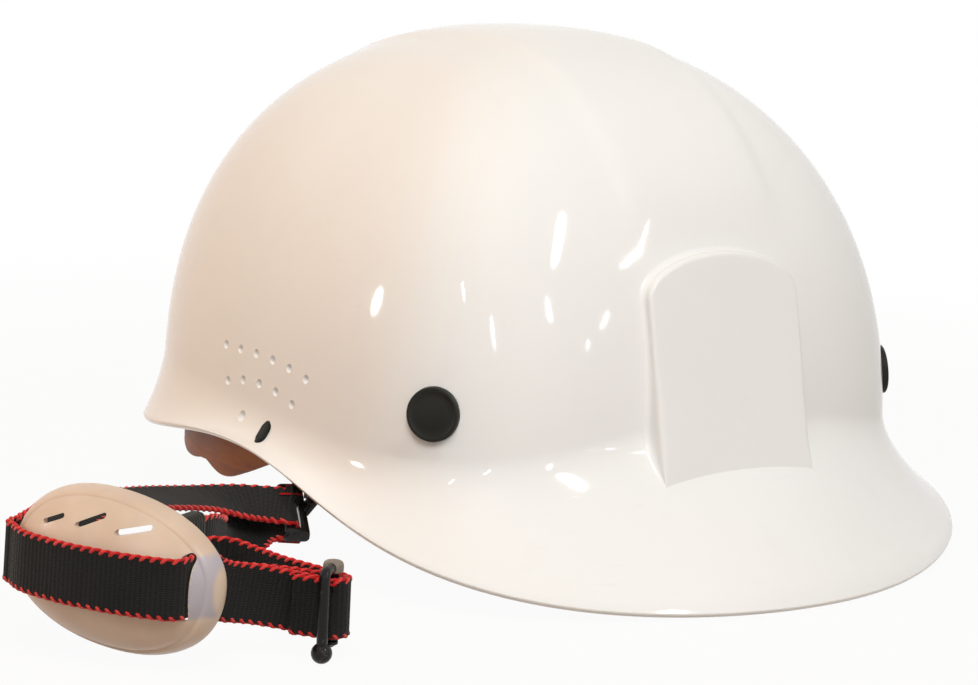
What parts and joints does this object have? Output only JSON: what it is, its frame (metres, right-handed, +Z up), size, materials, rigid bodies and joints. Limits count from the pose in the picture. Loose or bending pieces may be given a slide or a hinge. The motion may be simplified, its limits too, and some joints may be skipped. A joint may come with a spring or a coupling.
{
  "type": "bump cap",
  "caption": "Light protective cap with a front bill, a flat front pad, an adjustable inner headband and a hook-on chin strap with a moulded chin cup.",
  "frame": {"origin": "on the table, under the middle of the cap's own box, strap left out", "axes": "+X forward out over the bill, +Y to the wearer's left, +Z up; the cap stands on its bill's front edge and its nape strap, and the chin strap lies on the table at its right"},
  "size_m": [0.272, 0.3366, 0.156],
  "materials": {
    "shell_white": "gloss, moulded",
    "black_plastic": "fine matt, moulded",
    "band_brown": "satin, moulded",
    "pad_cloth": "brushed cloth over foam",
    "crown_webbing": "woven tape",
    "hook_black": "black, glossy",
    "strap_webbing": "woven tape with red stitched edges",
    "cup_plastic": "translucent, natural, soft gloss"
  },
  "bodies": {
    "cap": {"shell": "shell_white", "side_stud_right": "black_plastic", "side_stud_left": "black_plastic", "stud_retainer_right": "black_plastic", "stud_retainer_left": "black_plastic", "side_key_right": "black_plastic", "side_key_left": "black_plastic", "headband": "band_brown", "brow_pad": "pad_cloth", "nape_strap_right": "band_brown", "nape_strap_left": "band_brown", "nape_rivets": "band_brown", "size_button": "band_brown", "front_hanger_right": "black_plastic", "front_hanger_left": "black_plastic", "side_hanger_right": "black_plastic", "side_hanger_left": "black_plastic", "rear_hanger_right": "black_plastic", "rear_hanger_left": "black_plastic", "crown_strap_upper": "crown_webbing", "crown_strap_lower": "crown_webbing", "crown_pad": "pad_cloth", "crown_rivet": "black_plastic", "chin_lug_right": "shell_white", "chin_lug_left": "shell_white"},
    "cap_hook": {"cap_hook": "hook_black"},
    "chin_strap": {"webbing_lap_run": "strap_webbing", "webbing_back_run": "strap_webbing", "webbing_cap_run": "strap_webbing", "webbing_cup_run": "strap_webbing", "webbing_hook_run": "strap_webbing", "chin_cup": "cup_plastic"},
    "strap_keeper": {"strap_keeper": "black_plastic"},
    "free_hook": {"free_hook": "hook_black"}
  },
  "joints": [
    {"name": "cap_hook_swing", "type": "hinge", "parent": "cap", "child": "cap_hook", "pos_m": [0.029, -0.102, 0.023], "axis": [-1, 0, 0], "range_deg": [0, 8]},
    {"name": "strap_swing", "type": "hinge", "parent": "cap_hook", "child": "chin_strap", "pos_m": [0.0267, -0.1122, 0.0172], "axis": [-0.799, 0.3995, 0.4494], "range_deg": [0, 15]},
    {"name": "keeper_slide", "type": "slide", "parent": "chin_strap", "child": "strap_keeper", "axis": [-0.4266, 0.9044, 0], "range_m": [-0.005, 0.0005]},
    {"name": "free_hook_turn", "type": "hinge", "parent": "chin_strap", "child": "free_hook", "pos_m": [0.1084, -0.1547, 0.0134], "axis": [0, 0, 1], "range_deg": [-20, 60]}
  ]
}
